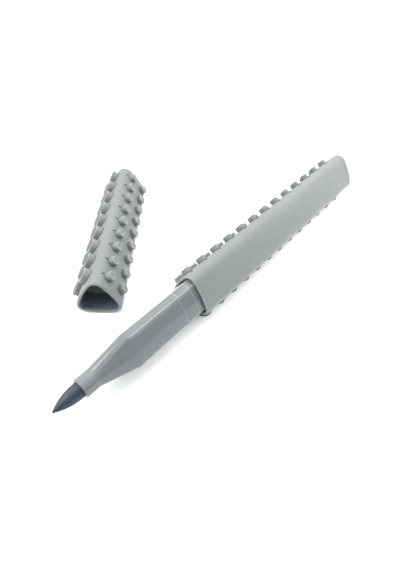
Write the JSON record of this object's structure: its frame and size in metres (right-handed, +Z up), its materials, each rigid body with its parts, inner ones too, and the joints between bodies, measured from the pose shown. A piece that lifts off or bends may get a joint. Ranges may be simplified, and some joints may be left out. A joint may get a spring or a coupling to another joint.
{
  "type": "brush marker",
  "caption": "Three-sided marker pen with two rows of moulded locking studs on one face and two rows of dished discs on the next, a soft pointed brush nib and a matching pull-off cap lying beside it.",
  "frame": {"origin": "middle of the lower disc pattern of the pen, on the plane of the disc tops that the pen lies on", "axes": "+X along the pen from nib to tail, +Z up out of the surface it lies on, +Y towards the loose cap"},
  "size_m": [0.1351, 0.0695, 0.0142],
  "materials": {
    "soft_touch_grey": "fine matte soft-touch moulding",
    "tail_grey": "fine matte moulding",
    "grip_gloss_grey": "smooth gloss moulding",
    "holder_white": "natural white moulding",
    "nib_fibre": "ink-soaked fine fibre",
    "reservoir_fibre": "ink-soaked bonded fibre",
    "film_clear": "thin clear film",
    "liner_dark": "dark smooth moulding"
  },
  "bodies": {
    "pen": {"body_sleeve": "soft_touch_grey", "tail_plug": "tail_grey", "grip_section": "grip_gloss_grey", "nib_holder": "holder_white", "brush_nib": "nib_fibre", "reservoir_core": "reservoir_fibre", "reservoir_film": "film_clear"},
    "cap": {"cap_shell": "soft_touch_grey", "cap_liner": "liner_dark"}
  },
  "joints": [
    {"name": "cap_pull", "type": "slide", "parent": "pen", "child": "cap", "axis": [0.7738, 0.6334, 0], "range_m": [0, 0.048]}
  ]
}
